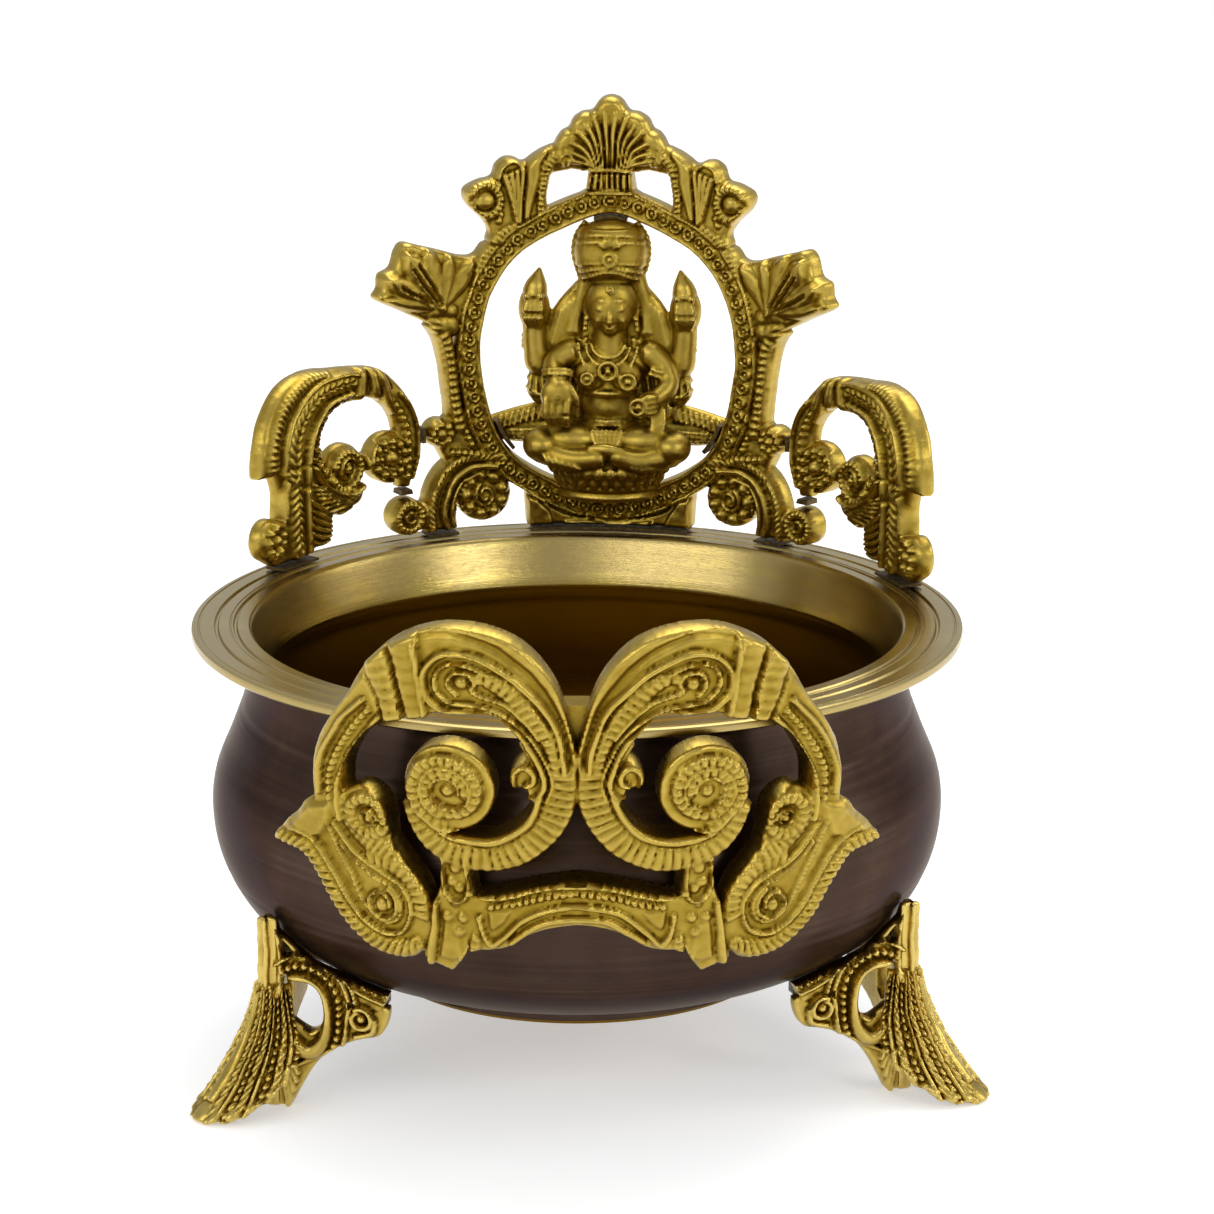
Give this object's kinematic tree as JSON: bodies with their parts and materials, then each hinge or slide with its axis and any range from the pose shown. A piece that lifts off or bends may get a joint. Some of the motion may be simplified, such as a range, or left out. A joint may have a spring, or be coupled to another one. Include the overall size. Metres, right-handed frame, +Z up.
{
  "type": "footed urli lamp bowl",
  "caption": "Turned brass urli bowl for oil and floating wicks, on scroll feet, with a cast deity arch, side scrolls and a pierced scroll handle.",
  "frame": {"origin": "middle of the part's box on the surface that the feet stand on", "axes": "+Z up; the pierced handle faces -Y and the deity arch stands at +Y"},
  "size_m": [0.1838, 0.2086, 0.2119],
  "materials": {
    "polished_brass": "turned and polished, tarnished to olive brown inside",
    "brown_lacquer": "dark brown satin lacquer over the bowl's outside",
    "cast_brass": "cast and chased, bright on the high edges, dark patina in the recesses",
    "dark_braze": "dull, blackened joint metal",
    "grey_solder": "rough grey solder"
  },
  "bodies": {
    "root": {"bowl": "polished_brass", "back_arch": "cast_brass", "deity_figure": "cast_brass", "side_scroll_left": "cast_brass", "side_scroll_right": "cast_brass", "front_handle": "cast_brass", "handle_lug": "cast_brass", "foot_left": "cast_brass", "foot_right": "cast_brass", "foot_back": "cast_brass", "figure_braze_top": "dark_braze", "figure_braze_left": "dark_braze", "figure_braze_right": "dark_braze", "plinth_braze": "dark_braze", "volute_braze_left": "dark_braze", "volute_braze_right": "dark_braze", "scroll_foot_braze_left": "dark_braze", "scroll_foot_braze_right": "dark_braze", "scroll_link_braze_left": "dark_braze", "scroll_link_braze_right": "dark_braze", "scroll_tail_braze_left": "dark_braze", "scroll_tail_braze_right": "dark_braze", "handle_braze_left": "dark_braze", "handle_braze_right": "dark_braze", "foot_solder_left_a": "grey_solder", "foot_solder_left_b": "grey_solder", "foot_solder_right_a": "grey_solder", "foot_solder_right_b": "grey_solder", "foot_solder_back_a": "grey_solder", "foot_solder_back_b": "grey_solder"}
  },
  "joints": []
}
